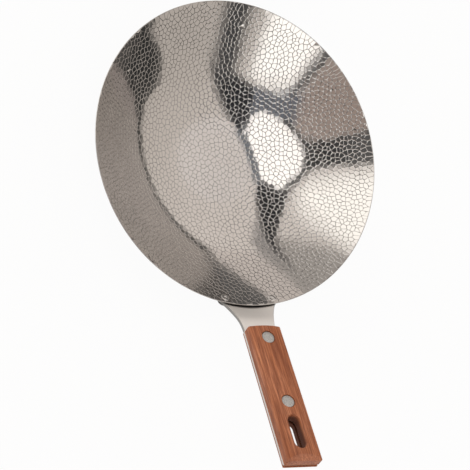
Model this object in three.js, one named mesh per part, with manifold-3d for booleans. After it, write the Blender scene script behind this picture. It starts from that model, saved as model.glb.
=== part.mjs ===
// Frying pan with an embossed steel bowl and a two-scale wooden handle on a riveted steel plate.
// Millimetres, +Z up. The handle runs along +X. The origin is the centre of the base on the floor.
import * as THREE from 'three';
import { mergeVertices } from 'three/addons/utils/BufferGeometryUtils.js';
import Module from 'manifold-3d';

const wasm = await Module();
wasm.setup();

// Shared fits
const CLEARANCE = 0.3;

// Bowl, with radii and angles for the middle of the sheet
const RIM_RADIUS = 120;
const SHEET = 1.4;
const INNER_DEPTH = 46.4;
const FLOOR_RADIUS = 26.5;
const HEEL_RADIUS = 56;
const HEEL_ANGLE = 15;
const BELLY_RADIUS = 141;
const BELLY_ANGLE = 31;
const BOWL_SEGMENTS = 84;
const HEEL_STEPS = 3;
const BELLY_STEPS = 4;
const WALL_STEPS = 5;
const RIM_STEPS = 4;

// Handle plate: saddle flange, bent neck and tang in one sheet
const PLATE = 2.5;
const FLANGE_LENGTH = 19;
const FLANGE_HALF_WIDTH = 25;
const FLANGE_CORNER = 9;
const FLARE_START = -5;
const NECK_STRAIGHT = 10.5;
const NECK_BEND_RADIUS = 33;
const NECK_LEAD = 6.3;
const HANDLE_RISE = 25;
const TANG_SETBACK = 1;

// Wooden scales
const SCALE_LENGTH = 111.7;
const SCALE_FRONT_HALF = 13.5;
const SCALE_REAR_HALF = 14.1;
const UPPER_THICKNESS = 7.9;
const LOWER_THICKNESS = 4.2;
const UPPER_ROUND = 2.1;
const LOWER_ROUND = 0.3;
const UPPER_CROWN = 1.8;
const LOWER_CROWN = 3.7;
const FRONT_CORNER = 1.2;
const REAR_CORNER = 1;
const END_BEVEL_RUN = 4.5;
const END_BEVEL_DROP = 1.9;
const LOWER_END_RUN = 5;
const LOWER_END_RISE = 2;

// Handle rivets, each a tubular upper half and a solid lower half
const RIVET_HEAD_RADIUS = 4.8;
const RIVET_HEAD = 1.4;
const RIVET_TUBE_RADIUS = 2.8;
const RIVET_PIN_RADIUS = 1.4;
const RIVET_RECESS = 0.5;
const RIVET_TUBE_BELOW = 3;
const RIVET_PIN_ABOVE = 3;
const FRONT_RIVET_AT = 10;
const REAR_RIVET_AT = 64.3;

// Hanging slot through both scales and, a little wider, through the tang
const SLOT_AT = 88.6;
const SLOT_LENGTH = 27.4;
const SLOT_WIDTH = 10.6;
const TANG_SLOT_RELIEF = 1.6;

// Rivets that hold the flange to the wall
const WALL_RIVET_ANGLE = 9.9;
const WALL_RIVET_BELOW_RIM = 5.2;
const WALL_HEAD_RADIUS = 3.4;
const WALL_HEAD = 0.8;
const WALL_HEAD_PROUD = 0.3;
const WALL_SHANK_RADIUS = 2;
const WALL_FORMED_RADIUS = 4.2;
const WALL_FORMED_HEIGHT = 1.8;
const DIMPLE_RADIUS = 1.1;
const DIMPLE_DEPTH = 0.4;

const heelAngle = THREE.MathUtils.degToRad(HEEL_ANGLE);
const bellyAngle = THREE.MathUtils.degToRad(BELLY_ANGLE);
const rise = THREE.MathUtils.degToRad(HANDLE_RISE);
const rimEndRadius = RIM_RADIUS - SHEET / 2;
const rimEndHeight = SHEET / 2 + INNER_DEPTH;

// Point of a bowl arc at a slope angle, moved off the middle of the sheet towards the outside
function onArc(arc, angle, off) {
  const r = arc.radius + off;
  return [arc.x + r * Math.sin(angle), arc.z - r * Math.cos(angle)];
}

// Arc that leaves a point at a slope angle and turns upwards with a radius
function arcFrom([x, z], radius, from, to, steps) {
  return { x: x - radius * Math.sin(from), z: z + radius * Math.cos(from), radius, from, to, steps };
}

// Arc that leaves a point at a slope angle and ends at the rim
function arcToRim([x, z], from) {
  const chord = Math.hypot(rimEndRadius - x, rimEndHeight - z);
  const lean = Math.atan2(rimEndHeight - z, rimEndRadius - x) - from;
  return arcFrom([x, z], chord / (2 * Math.sin(lean)), from, from + 2 * lean, WALL_STEPS);
}

// Line of the sheet: flat floor, tight heel, wide belly and an open wall
const heel = arcFrom([FLOOR_RADIUS, SHEET / 2], HEEL_RADIUS, 0, heelAngle, HEEL_STEPS);
const belly = arcFrom(onArc(heel, heelAngle, 0), BELLY_RADIUS, heelAngle, bellyAngle, BELLY_STEPS);
const wall = arcToRim(onArc(belly, bellyAngle, 0), bellyAngle);
const rimAngle = wall.to;

// Handle line in the XZ plane, measured from the rim along the plate's middle
const plateOffset = SHEET / 2 + CLEARANCE + PLATE / 2;
const neckTurn = rimAngle - rise;
const bendLength = NECK_BEND_RADIUS * neckTurn;
const bendEnd = NECK_STRAIGHT + bendLength;
const scaleStart = bendEnd + NECK_LEAD;
const plateEnd = scaleStart + SCALE_LENGTH - TANG_SETBACK;
const handleThrough = PLATE + UPPER_THICKNESS + LOWER_THICKNESS;

function smooth(t) {
  const c = Math.min(1, Math.max(0, t));
  return c * c * (3 - 2 * c);
}

// Point of the handle line at a distance along it: down the wall, or round the bend and up the handle
function handleLine(s) {
  if (s < 0) {
    return onArc(wall, rimAngle + s / (wall.radius + plateOffset), plateOffset);
  }
  const [x0, z0] = onArc(wall, rimAngle, plateOffset);
  const straight = Math.min(s, NECK_STRAIGHT);
  const a = rimAngle - Math.min(Math.max(s - NECK_STRAIGHT, 0), bendLength) / NECK_BEND_RADIUS;
  const after = Math.max(s - bendEnd, 0);
  const r = NECK_BEND_RADIUS;
  const x = x0 + straight * Math.cos(rimAngle) + r * (Math.sin(rimAngle) - Math.sin(a));
  const z = z0 + straight * Math.sin(rimAngle) + r * (Math.cos(a) - Math.cos(rimAngle));
  return [x + after * Math.cos(rise), z + after * Math.sin(rise)];
}

// Middle of the plate: wrapped round the bowl below the rim and flat across from the scales on
function plateMiddle(s, y) {
  const [x, z] = handleLine(s);
  const wrap = 1 - smooth(s / bendEnd);
  return new THREE.Vector3(x - wrap * (x - Math.sqrt(x * x - y * y)), y, z);
}

function plateNormal(s, y) {
  const e = 0.02;
  const along = plateMiddle(s + e, y).sub(plateMiddle(s - e, y));
  const across = plateMiddle(s, y + e).sub(plateMiddle(s, y - e));
  return along.cross(across).normalize();
}

function scaleHalfWidth(h) {
  return SCALE_FRONT_HALF + (SCALE_REAR_HALF - SCALE_FRONT_HALF) * (h / SCALE_LENGTH);
}

// Half width of the plate: rounded flange, concave flare of the neck, then the tang under the scales
function plateHalfWidth(s) {
  const fromEnd = s + FLANGE_LENGTH;
  const flare = Math.min(1, Math.max(0, (s - FLARE_START) / (scaleStart - FLARE_START)));
  const neck = SCALE_FRONT_HALF + (FLANGE_HALF_WIDTH - SCALE_FRONT_HALF) * (1 - flare) ** 2;
  const corner = Math.max(0, FLANGE_CORNER - fromEnd);
  const cut = FLANGE_CORNER - Math.sqrt(Math.max(0, FLANGE_CORNER ** 2 - corner ** 2));
  const fromTip = Math.max(0, REAR_CORNER - (plateEnd - s));
  const tip = REAR_CORNER - Math.sqrt(Math.max(0, REAR_CORNER ** 2 - fromTip ** 2));
  const tang = s > scaleStart ? scaleHalfWidth(s - scaleStart) - SCALE_FRONT_HALF : 0;
  return neck + tang - cut - tip;
}

// Closed solid of a geometry, with doubled points joined and empty triangles left out
function solid(geometry) {
  const g = geometry.clone();
  g.deleteAttribute('normal');
  g.deleteAttribute('uv');
  const joined = mergeVertices(g, 1e-4);
  const index = joined.index.array;
  const kept = [];
  for (let i = 0; i < index.length; i += 3) {
    const [a, b, c] = [index[i], index[i + 1], index[i + 2]];
    if (a !== b && b !== c && c !== a) {
      kept.push(a, b, c);
    }
  }
  const mesh = new wasm.Mesh({
    numProp: 3,
    vertProperties: Float32Array.from(joined.attributes.position.array),
    triVerts: Uint32Array.from(kept),
  });
  mesh.merge();
  return new wasm.Manifold(mesh);
}

function meshOf(name, body, colour, roughness, metalness) {
  const out = body.getMesh();
  const g = new THREE.BufferGeometry();
  g.setAttribute('position', new THREE.BufferAttribute(Float32Array.from(out.vertProperties), 3));
  g.setIndex(new THREE.BufferAttribute(Uint32Array.from(out.triVerts), 1));
  g.computeVertexNormals();
  const mesh = new THREE.Mesh(g, new THREE.MeshStandardMaterial({ color: colour, roughness, metalness }));
  mesh.name = name;
  return mesh;
}

// Turned body about +Z from a profile of [radius, height] that runs from the axis to the axis
function turned(profile, segments) {
  const points = profile.map(([r, z]) => new THREE.Vector2(r, z));
  return new THREE.LatheGeometry(points, segments).rotateX(Math.PI / 2);
}

function rod(radius, bottom, top, segments = 32) {
  return turned([[0, bottom], [radius, bottom], [radius, top], [0, top]], segments);
}

// Places a geometry so that its +Z runs along a direction through a point
function aim(geometry, point, direction) {
  const q = new THREE.Quaternion().setFromUnitVectors(new THREE.Vector3(0, 0, 1), direction);
  return geometry.applyQuaternion(q).translate(point.x, point.y, point.z);
}

// Places a geometry drawn as (along the handle, across, up) on the tang's middle plane
function onHandle(geometry) {
  const [x, z] = handleLine(scaleStart);
  return geometry.rotateY(-rise).translate(x, 0, z);
}

// Bowl profile: out along the underside, up the outside, over the rounded rim and down the inside
function bowlProfile() {
  const half = SHEET / 2;
  const side = (off) => {
    const points = [[FLOOR_RADIUS, half - off]];
    for (const arc of [heel, belly, wall]) {
      for (let i = 1; i <= arc.steps; i += 1) {
        points.push(onArc(arc, arc.from + ((arc.to - arc.from) * i) / arc.steps, off));
      }
    }
    return points;
  };
  const rim = [];
  for (let i = 1; i < RIM_STEPS; i += 1) {
    const a = rimAngle - Math.PI / 2 + (Math.PI * i) / RIM_STEPS;
    rim.push([rimEndRadius + half * Math.cos(a), rimEndHeight + half * Math.sin(a)]);
  }
  return [[0, 0], ...side(half), ...rim, ...side(-half).reverse(), [0, SHEET]];
}

// Wall rivet axis: the point on the bowl's mid sheet and the outward direction square to the wall
function wallRivetAxis(side) {
  const slope = rimAngle - WALL_RIVET_BELOW_RIM / wall.radius;
  const [r, z] = onArc(wall, slope, 0);
  const turn = side * THREE.MathUtils.degToRad(WALL_RIVET_ANGLE);
  const out = Math.sin(slope);
  const point = new THREE.Vector3(r * Math.cos(turn), r * Math.sin(turn), z);
  const direction = new THREE.Vector3(out * Math.cos(turn), out * Math.sin(turn), -Math.cos(slope));
  return { point, direction };
}

function wallBore(side, radius, from, to) {
  const { point, direction } = wallRivetAxis(side);
  return solid(aim(rod(radius, from, to), point, direction));
}

function makeBowl() {
  let body = solid(turned(bowlProfile(), BOWL_SEGMENTS));
  const inside = -SHEET / 2;
  const seat = inside + WALL_HEAD - WALL_HEAD_PROUD + CLEARANCE;
  for (const side of [-1, 1]) {
    body = body.subtract(wallBore(side, WALL_SHANK_RADIUS + CLEARANCE, -SHEET * 2, SHEET * 2));
    body = body.subtract(wallBore(side, WALL_HEAD_RADIUS + CLEARANCE, -SHEET * 2, seat));
  }
  return body;
}

function obround(length, width) {
  const r = width / 2;
  const run = length / 2 - r;
  const shape = new THREE.Shape();
  shape.absarc(run, 0, r, -Math.PI / 2, Math.PI / 2);
  shape.absarc(-run, 0, r, Math.PI / 2, (Math.PI * 3) / 2);
  shape.closePath();
  return shape;
}

function slotCutter(relief) {
  const outline = obround(SLOT_LENGTH + 2 * relief, SLOT_WIDTH + 2 * relief);
  const bar = new THREE.ExtrudeGeometry(outline, {
    depth: 2 * handleThrough,
    bevelEnabled: false,
    curveSegments: 14,
  });
  return solid(onHandle(bar.translate(SLOT_AT, 0, -handleThrough)));
}

function handleBore(at, radius, from, to) {
  return solid(onHandle(rod(radius, from, to).translate(at, 0, 0)));
}

function makePlate() {
  const alongSteps = 40;
  const acrossSteps = 10;
  const neckShare = 0.9;
  const box = new THREE.BoxGeometry(1, 2, PLATE, alongSteps, acrossSteps, 1);
  const position = box.attributes.position;
  for (let i = 0; i < position.count; i += 1) {
    const u = position.getX(i) + 0.5;
    const near = Math.min(u / neckShare, 1);
    const far = Math.max(u - neckShare, 0) / (1 - neckShare);
    const s = -FLANGE_LENGTH + near * (scaleStart + FLANGE_LENGTH) + far * (plateEnd - scaleStart);
    const y = position.getY(i) * plateHalfWidth(s);
    const p = plateMiddle(s, y).addScaledVector(plateNormal(s, y), position.getZ(i));
    position.setXYZ(i, p.x, p.y, p.z);
  }
  let body = solid(box);
  for (const side of [-1, 1]) {
    body = body.subtract(wallBore(side, WALL_SHANK_RADIUS + CLEARANCE, 0, PLATE * 4));
  }
  for (const at of [FRONT_RIVET_AT, REAR_RIVET_AT]) {
    body = body.subtract(handleBore(at, RIVET_TUBE_RADIUS + CLEARANCE, -handleThrough, handleThrough));
  }
  return body.subtract(slotCutter(TANG_SLOT_RELIEF));
}

// Plan of a scale: tapered, with rounded corners
function scalePlan() {
  const f = SCALE_FRONT_HALF;
  const r = SCALE_REAR_HALF;
  const shape = new THREE.Shape();
  shape.moveTo(FRONT_CORNER, -f);
  shape.lineTo(SCALE_LENGTH - REAR_CORNER, -r);
  shape.quadraticCurveTo(SCALE_LENGTH, -r, SCALE_LENGTH, -r + REAR_CORNER);
  shape.lineTo(SCALE_LENGTH, r - REAR_CORNER);
  shape.quadraticCurveTo(SCALE_LENGTH, r, SCALE_LENGTH - REAR_CORNER, r);
  shape.lineTo(FRONT_CORNER, f);
  shape.quadraticCurveTo(0, f, 0, f - FRONT_CORNER);
  shape.lineTo(0, -f + FRONT_CORNER);
  shape.quadraticCurveTo(0, -f, FRONT_CORNER, -f);
  return shape;
}

// Cross-section of a scale on its flat side: low straight edges, rounded shoulders and a crown
function scaleSection(thickness, crown, round) {
  const half = SCALE_FRONT_HALF;
  const shoulder = thickness - crown;
  const radius = (half * half + crown * crown) / (2 * crown);
  const crownAt = (y) => thickness - radius + Math.sqrt(radius * radius - y * y);
  const shape = new THREE.Shape();
  shape.moveTo(-half, 0);
  shape.lineTo(half, 0);
  shape.lineTo(half, shoulder - round);
  const steps = 4;
  for (let i = 1; i <= steps; i += 1) {
    const a = (Math.PI / 2) * (i / steps);
    const y = half - round + round * Math.cos(a);
    shape.lineTo(y, crownAt(y) - round + round * Math.sin(a));
  }
  const edge = half - round;
  const crownSteps = 14;
  for (let i = 1; i < crownSteps; i += 1) {
    const y = edge - (2 * edge * i) / crownSteps;
    shape.lineTo(y, crownAt(y));
  }
  for (let i = steps; i >= 1; i -= 1) {
    const a = (Math.PI / 2) * (i / steps);
    const y = half - round + round * Math.cos(a);
    shape.lineTo(-y, crownAt(y) - round + round * Math.sin(a));
  }
  shape.lineTo(-half, shoulder - round);
  shape.closePath();
  return shape;
}

// Bar of the section that widens along the handle, cut to the plan with rounded corners
function scaleBlank(thickness, crown, round) {
  const bar = new THREE.ExtrudeGeometry(scaleSection(thickness, crown, round), {
    depth: SCALE_LENGTH,
    bevelEnabled: false,
    steps: 1,
  });
  const position = bar.attributes.position;
  for (let i = 0; i < position.count; i += 1) {
    const h = position.getZ(i);
    const y = position.getX(i) * (scaleHalfWidth(h) / SCALE_FRONT_HALF);
    position.setXYZ(i, h, y, position.getY(i));
  }
  const plan = new THREE.ExtrudeGeometry(scalePlan(), {
    depth: thickness * 2,
    bevelEnabled: false,
    curveSegments: 5,
  });
  return solid(bar).intersect(solid(plan.translate(0, 0, -thickness / 2)));
}

// Wedge that takes the bevel off the outer edge of a scale's rear end
function endWedge(run, drop, thickness) {
  const angle = Math.atan2(drop, run);
  const side = 2 * SCALE_LENGTH;
  const block = new THREE.BoxGeometry(side, side, side).translate(0, 0, side / 2);
  return solid(block.rotateY(angle).translate(SCALE_LENGTH - run, 0, thickness));
}

function makeScale(up) {
  const thickness = up ? UPPER_THICKNESS : LOWER_THICKNESS;
  const crown = up ? UPPER_CROWN : LOWER_CROWN;
  const round = up ? UPPER_ROUND : LOWER_ROUND;
  const run = up ? END_BEVEL_RUN : LOWER_END_RUN;
  const drop = up ? END_BEVEL_DROP : LOWER_END_RISE;
  let body = scaleBlank(thickness, crown, round).subtract(endWedge(run, drop, thickness));
  const seat = PLATE / 2 + CLEARANCE;
  body = body.translate([0, 0, seat]);
  if (!up) {
    body = body.rotate([180, 0, 0]);
  }
  const [x, z] = handleLine(scaleStart);
  body = body.rotate([0, -HANDLE_RISE, 0]).translate([x, 0, z]);
  const headFloor = seat + thickness - RIVET_RECESS - RIVET_HEAD - CLEARANCE;
  for (const at of [FRONT_RIVET_AT, REAR_RIVET_AT]) {
    body = body.subtract(handleBore(at, RIVET_TUBE_RADIUS + CLEARANCE, -handleThrough, handleThrough));
    const low = up ? headFloor : -handleThrough;
    const high = up ? handleThrough : -headFloor;
    body = body.subtract(handleBore(at, RIVET_HEAD_RADIUS + CLEARANCE, low, high));
  }
  return body.subtract(slotCutter(0));
}

// Upper rivet half: flat head with a tube that passes through the tang
function makeRivetUpper(at) {
  const top = PLATE / 2 + CLEARANCE + UPPER_THICKNESS - RIVET_RECESS;
  const under = top - RIVET_HEAD;
  const bore = RIVET_PIN_RADIUS + CLEARANCE;
  const end = -RIVET_TUBE_BELOW;
  const boreTop = RIVET_PIN_ABOVE + CLEARANCE;
  const profile = [
    [0, boreTop],
    [bore, boreTop],
    [bore, end],
    [RIVET_TUBE_RADIUS, end],
    [RIVET_TUBE_RADIUS, under],
    [RIVET_HEAD_RADIUS, under],
    [RIVET_HEAD_RADIUS, top],
    [0, top],
  ];
  return solid(onHandle(turned(profile, 28).translate(at, 0, 0)));
}

// Lower rivet half: flat head with a pin that is pressed into the tube
function makeRivetLower(at) {
  const bottom = -(PLATE / 2 + CLEARANCE + LOWER_THICKNESS - RIVET_RECESS);
  const above = bottom + RIVET_HEAD;
  const profile = [
    [0, bottom],
    [RIVET_HEAD_RADIUS, bottom],
    [RIVET_HEAD_RADIUS, above],
    [RIVET_PIN_RADIUS, above],
    [RIVET_PIN_RADIUS, RIVET_PIN_ABOVE],
    [0, RIVET_PIN_ABOVE],
  ];
  return solid(onHandle(turned(profile, 28).translate(at, 0, 0)));
}

// Wall rivet: flush dimpled head inside the bowl, shank, and a domed formed head on the flange
function makeWallRivet(side) {
  const headTop = -SHEET / 2 - WALL_HEAD_PROUD;
  const headUnder = headTop + WALL_HEAD;
  const flangeFace = SHEET / 2 + CLEARANCE + PLATE + CLEARANCE;
  const profile = [
    [0, headTop + DIMPLE_DEPTH],
    [DIMPLE_RADIUS, headTop],
    [WALL_HEAD_RADIUS, headTop],
    [WALL_HEAD_RADIUS, headUnder],
    [WALL_SHANK_RADIUS, headUnder],
    [WALL_SHANK_RADIUS, flangeFace],
  ];
  const steps = 5;
  for (let i = 0; i <= steps; i += 1) {
    const a = (Math.PI / 2) * (i / steps);
    profile.push([WALL_FORMED_RADIUS * Math.cos(a), flangeFace + WALL_FORMED_HEIGHT * Math.sin(a)]);
  }
  profile[profile.length - 1][0] = 0;
  const { point, direction } = wallRivetAxis(side);
  return solid(aim(turned(profile, 28), point, direction));
}

const STEEL = 0xc9c6c1;
const RIVET_STEEL = 0xc4c4c0;
const WOOD = 0xa55f3f;

const group = new THREE.Group();
group.name = 'frying_pan';
group.add(meshOf('pan_body', makeBowl(), STEEL, 0.25, 1));
group.add(meshOf('handle_plate', makePlate(), STEEL, 0.3, 1));
group.add(meshOf('upper_scale', makeScale(true), WOOD, 0.55, 0));
group.add(meshOf('lower_scale', makeScale(false), WOOD, 0.55, 0));
group.add(meshOf('front_rivet_upper', makeRivetUpper(FRONT_RIVET_AT), RIVET_STEEL, 0.4, 1));
group.add(meshOf('front_rivet_lower', makeRivetLower(FRONT_RIVET_AT), RIVET_STEEL, 0.4, 1));
group.add(meshOf('rear_rivet_upper', makeRivetUpper(REAR_RIVET_AT), RIVET_STEEL, 0.4, 1));
group.add(meshOf('rear_rivet_lower', makeRivetLower(REAR_RIVET_AT), RIVET_STEEL, 0.4, 1));
group.add(meshOf('wall_rivet_left', makeWallRivet(-1), RIVET_STEEL, 0.35, 1));
group.add(meshOf('wall_rivet_right', makeWallRivet(1), RIVET_STEEL, 0.35, 1));

export default group;
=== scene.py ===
"""Frying pan: a pebble-embossed steel bowl with a riveted handle of two wooden scales.

Every piece is a numpy surface in metres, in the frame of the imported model: the handle runs along +X,
+Z is up, and the origin is the middle of the base. The bowl is worked out on its flattened sheet,
the handle pieces along the handle's own axis.
"""
import math
from collections import namedtuple

import bpy
import numpy as np
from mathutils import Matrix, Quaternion, Vector
from mathutils.geometry import delaunay_2d_cdt


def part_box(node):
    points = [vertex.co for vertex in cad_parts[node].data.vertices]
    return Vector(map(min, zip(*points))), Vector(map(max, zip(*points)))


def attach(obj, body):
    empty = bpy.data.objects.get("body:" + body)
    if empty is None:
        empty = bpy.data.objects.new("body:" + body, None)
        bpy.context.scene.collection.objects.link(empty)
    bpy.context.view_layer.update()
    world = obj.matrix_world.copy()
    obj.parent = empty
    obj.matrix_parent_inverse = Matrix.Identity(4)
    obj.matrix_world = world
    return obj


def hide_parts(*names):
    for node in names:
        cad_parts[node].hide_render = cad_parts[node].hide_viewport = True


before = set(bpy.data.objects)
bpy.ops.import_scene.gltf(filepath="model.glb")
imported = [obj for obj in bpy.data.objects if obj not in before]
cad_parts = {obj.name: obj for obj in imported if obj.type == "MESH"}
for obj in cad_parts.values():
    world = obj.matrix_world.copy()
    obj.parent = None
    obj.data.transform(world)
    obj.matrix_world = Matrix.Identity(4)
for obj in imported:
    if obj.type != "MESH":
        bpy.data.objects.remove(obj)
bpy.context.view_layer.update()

MM = 0.001

# Bowl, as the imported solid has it: radii and angles are those of the middle of the sheet
RIM_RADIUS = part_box("pan_body")[1].x
PAN_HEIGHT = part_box("pan_body")[1].z
SHEET = 1.4 * MM
FLOOR_RADIUS = 26.5 * MM
HEEL_RADIUS = 56 * MM
HEEL_ANGLE = math.radians(15)
BELLY_RADIUS = 141 * MM
BELLY_ANGLE = math.radians(31)
LIP_HALF = 0.35 * MM
LIP_TAPER = 5 * MM

# Emboss of the inside
PEBBLE_SPACING = 4 * MM
PEBBLE_JITTER = 0.36
GROOVE_HALF = 0.2 * MM
GROOVE_DEPTH = 0.09 * MM
SHOULDER_DROP = 0.004 * MM
CROWN_DROP = 0.002 * MM
PEBBLE_TILT = 0.0022
PEBBLE_SEED = 24

# Handle plate
PLATE = 2.5 * MM
SEAT_GAP = 0.3 * MM
FLANGE_LENGTH = 19 * MM
FLANGE_HALF_WIDTH = 25 * MM
FLANGE_CORNER = 9 * MM
FLARE_START = -5 * MM
NECK_STRAIGHT = 10.5 * MM
NECK_BEND_RADIUS = 33 * MM
NECK_LEAD = 6.3 * MM
HANDLE_RISE = math.radians(25)
TANG_SETBACK = 1 * MM
PLATE_EDGE = 0.5 * MM

# Wooden scales
SCALE_LENGTH = 111.7 * MM
SCALE_FRONT_HALF = 13.5 * MM
SCALE_REAR_HALF = 14.1 * MM
FRONT_CORNER = 0.8 * MM
REAR_CORNER = 1 * MM
SCALE_EDGE = 0.3 * MM

# Hanging slot and rivets
SLOT_AT = 88.8 * MM
SLOT_LENGTH = 26.4 * MM
SLOT_WIDTH = 9.7 * MM
SLOT_MOUTH = 1.2 * MM
TANG_SLOT_RELIEF = 1.6 * MM
RIVETS_AT = {"front": 10 * MM, "rear": 64.3 * MM}
RIVET_HEAD_RADIUS = 4.8 * MM
RIVET_HEAD = 1.4 * MM
RIVET_RECESS = 0.5 * MM
RIVET_EDGE = 0.25 * MM
RIVET_TUBE_RADIUS = 2.8 * MM
RIVET_PIN_RADIUS = 1.4 * MM
RIVET_REACH = 3 * MM
RIVET_FIT = 0.4 * MM
WALL_RIVET_ANGLE = math.radians(9.9)
WALL_RIVET_BELOW_RIM = 5.2 * MM
WALL_HEAD_RADIUS = 3.4 * MM
WALL_HEAD = 0.8 * MM
WALL_HEAD_PROUD = 0.3 * MM
WALL_SHANK_RADIUS = 2 * MM
WALL_FORMED_RADIUS = 4.2 * MM
WALL_FORMED_HEIGHT = 1.8 * MM
DIMPLE_RADIUS = 1.1 * MM
DIMPLE_DEPTH = 0.4 * MM
RIVET_DOME = 0.06 * MM
RIVET_DOME_HALFWAY = 0.05 * MM

# The two halves of the handle: way out from the tang, wood above it, rear bevel and rivet shank
Half = namedtuple("Half", "sign thickness crown round_over bevel_run bevel_drop shank")
UPPER = Half(1, 8.2 * MM, 1.8 * MM, 1.0 * MM, 4.3 * MM, 2.2 * MM, RIVET_TUBE_RADIUS)
LOWER = Half(-1, 4.5 * MM, 4 * MM, 0.3 * MM, 9 * MM, 4 * MM, RIVET_PIN_RADIUS)

# Points of a scale's section under it, round each shoulder and over its crown
UNDER_POINTS = 9
SHOULDER_POINTS = 9
CROWN_POINTS = 33

# Angles above which an edge is drawn as a crease
CUT_CREASE = math.radians(25)
RIVET_CREASE = math.radians(35)

# Floor: half its side, its place under the pan, and how white it looks
FLOOR_REACH = 3.0
FLOOR_DROP = 0.2 * MM
FLOOR_WHITE = 0.94

# Camera, as the photograph was taken, for a square picture of 470 pixels
CAMERA_TARGET = Vector((0.0623, -0.001, 0.031))
CAMERA_AZIMUTH = math.radians(-67.3)
CAMERA_ELEVATION = math.radians(60.03)
CAMERA_ROLL = math.radians(66.48)
CAMERA_DISTANCE = 1.2
CAMERA_LENS = 120.67
CAMERA_SENSOR = 36


# Mesh helpers

def make_piece(name, points, faces, material, smooth=True):
    """A mesh object at the origin from an array of points and arrays of faces."""
    mesh = bpy.data.meshes.new(name)
    mesh.from_pydata(points.tolist(), [], [f for block in faces for f in block.tolist()])
    mesh.polygons.foreach_set("use_smooth", np.full(len(mesh.polygons), smooth))
    mesh.update()
    piece = bpy.data.objects.new(name, mesh)
    bpy.context.scene.collection.objects.link(piece)
    if material is not None:
        mesh.materials.append(material)
    return piece


def grid_faces(rows, columns, wrap=False):
    """Quads of a grid whose points are stored row by row, closed across the columns when wrap is set."""
    last = columns if wrap else columns - 1
    i, j = np.meshgrid(np.arange(rows - 1), np.arange(last), indexing="ij")
    k = (j + 1) % columns
    quads = [i * columns + j, i * columns + k, (i + 1) * columns + k, (i + 1) * columns + j]
    return np.stack(quads, axis=-1).reshape(-1, 4)


def capped_tube(rings):
    """Closed body from rings of points: quads between the rings, and a fan to the middle of each end."""
    rows, columns, _ = rings.shape
    ends = np.stack([rings[0].mean(axis=0), rings[-1].mean(axis=0)])
    points = np.concatenate([rings.reshape(-1, 3), ends])
    j = np.arange(columns)
    k = (j + 1) % columns
    first = np.stack([np.full(columns, rows * columns), k, j], axis=-1)
    base = (rows - 1) * columns
    last = np.stack([np.full(columns, rows * columns + 1), base + j, base + k], axis=-1)
    return points, [grid_faces(rows, columns, wrap=True), first, last]


def turned(profile, axis_point, axis, segments=64):
    """Turned body: a profile of (radius, height), from the axis to the axis, spun about a line."""
    along = Vector(axis).normalized()
    side = along.orthogonal().normalized()
    basis = np.array([side, along.cross(side), along])
    r, h = np.array(profile[1:-1]).T
    a = np.arange(segments) * (2 * np.pi / segments)
    ring = np.stack([np.outer(r, np.cos(a)), np.outer(r, np.sin(a)),
                     np.outer(h, np.ones(segments))], axis=-1)
    points, faces = capped_tube(ring)
    points[-2] = (0, 0, profile[0][1])
    points[-1] = (0, 0, profile[-1][1])
    return points @ basis + np.array(axis_point), faces


def cut(piece, cutters):
    """Takes the cutters out of a piece, and leaves the piece as one plain mesh."""
    for cutter in cutters:
        modifier = piece.modifiers.new("cut", "BOOLEAN")
        modifier.object = cutter
        modifier.operation = "DIFFERENCE"
        modifier.solver = "EXACT"
    shown = piece.evaluated_get(bpy.context.evaluated_depsgraph_get())
    mesh = bpy.data.meshes.new_from_object(shown)
    piece.modifiers.clear()
    piece.data = mesh
    mesh.set_sharp_from_angle(angle=CUT_CREASE)
    for cutter in cutters:
        bpy.data.objects.remove(cutter)
    return piece


def smooth_step(t):
    """Zero below 0, one above 1, and 3t^2 - 2t^3 between."""
    c = np.clip(t, 0, 1)
    return c * c * (3 - 2 * c)


# Line of the bowl's sheet

class SheetLine:
    """Flat floor and three tangent arcs from the middle of the pan to the rim.

    A place is given by its distance along the middle of the sheet from the axis, and by how far it
    lies off that middle, to the outside. On an arc the slope grows evenly with that distance, and the
    point is the arc's centre plus its radius at the slope angle.
    """

    def __init__(self):
        rim = np.array([RIM_RADIUS - SHEET / 2, PAN_HEIGHT - SHEET / 2])
        self.centres = []
        self.radii = []
        self.slopes = [0.0]
        self.joints = [FLOOR_RADIUS]
        start = np.array([FLOOR_RADIUS, SHEET / 2])
        for radius, end in ((HEEL_RADIUS, HEEL_ANGLE), (BELLY_RADIUS, BELLY_ANGLE)):
            start = self.add_arc(start, radius, end)
        chord = rim - start
        lean = math.atan2(chord[1], chord[0]) - BELLY_ANGLE
        wall_radius = np.hypot(*chord) / (2 * math.sin(lean))
        self.add_arc(start, wall_radius, BELLY_ANGLE + 2 * lean)
        self.length = self.joints[-1]
        self.rim_slope = self.slopes[-1]

    def add_arc(self, start, radius, end):
        """Adds an arc that leaves a point at the last slope, and gives its other end."""
        slope = self.slopes[-1]
        centre = start + radius * np.array([-math.sin(slope), math.cos(slope)])
        self.centres.append(centre)
        self.radii.append(radius)
        self.slopes.append(end)
        self.joints.append(self.joints[-1] + radius * (end - slope))
        return centre + radius * np.array([math.sin(end), -math.cos(end)])

    def slope(self, s):
        """Angle of the sheet from level, straight between the joints."""
        return np.interp(s, self.joints, self.slopes)

    def point(self, s, off):
        """Radius from the axis and height of a place on the sheet."""
        s, off = np.broadcast_arrays(np.asarray(s, float), np.asarray(off, float))
        arc = np.clip(np.searchsorted(self.joints, s) - 1, 0, 2)
        centre = np.array(self.centres)[arc]
        reach = np.array(self.radii)[arc] + off
        a = self.slope(s)
        on_floor = s <= FLOOR_RADIUS
        r = np.where(on_floor, s, centre[..., 0] + reach * np.sin(a))
        z = np.where(on_floor, SHEET / 2 - off, centre[..., 1] - reach * np.cos(a))
        return r, z


LINE = SheetLine()


# Bowl

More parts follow.
